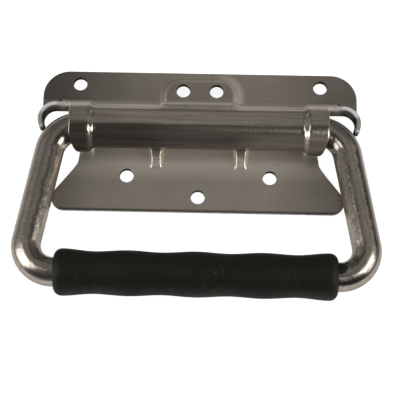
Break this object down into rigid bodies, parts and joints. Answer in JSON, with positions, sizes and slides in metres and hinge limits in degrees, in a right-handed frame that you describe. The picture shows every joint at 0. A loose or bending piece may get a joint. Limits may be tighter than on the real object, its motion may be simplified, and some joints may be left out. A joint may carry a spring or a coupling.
{
  "type": "carrying handle",
  "caption": "Surface-mount steel carrying handle: a bail with a black finger grip turns in the rolled barrel of a pressed plate and folds flat",
  "frame": {"origin": "middle of the lower screw pair, on the plate's back face", "axes": "+X along the hinge to the right, +Y from the grip towards the flange, +Z out of the mounting surface"},
  "size_m": [0.1272, 0.0855, 0.0171],
  "materials": {
    "plate_zinc": "bright zinc plating on pressed sheet",
    "bar_zinc": "bright zinc plating on drawn bar",
    "grip_rubber": "matte moulded rubber",
    "spring_wire": "drawn spring wire"
  },
  "bodies": {
    "plate": {"base_plate": "plate_zinc", "return_spring": "spring_wire"},
    "bail": {"bail_bar": "bar_zinc", "grip": "grip_rubber"}
  },
  "joints": [
    {"name": "bail_swing", "type": "hinge", "parent": "plate", "child": "bail", "pos_m": [0, 0.0158, 0.0082], "axis": [-1, 0, 0], "range_deg": [0, 120], "stiffness_Nm_per_rad": 0.1, "springref_deg": -57.3, "deforming": ["return_spring"]}
  ]
}
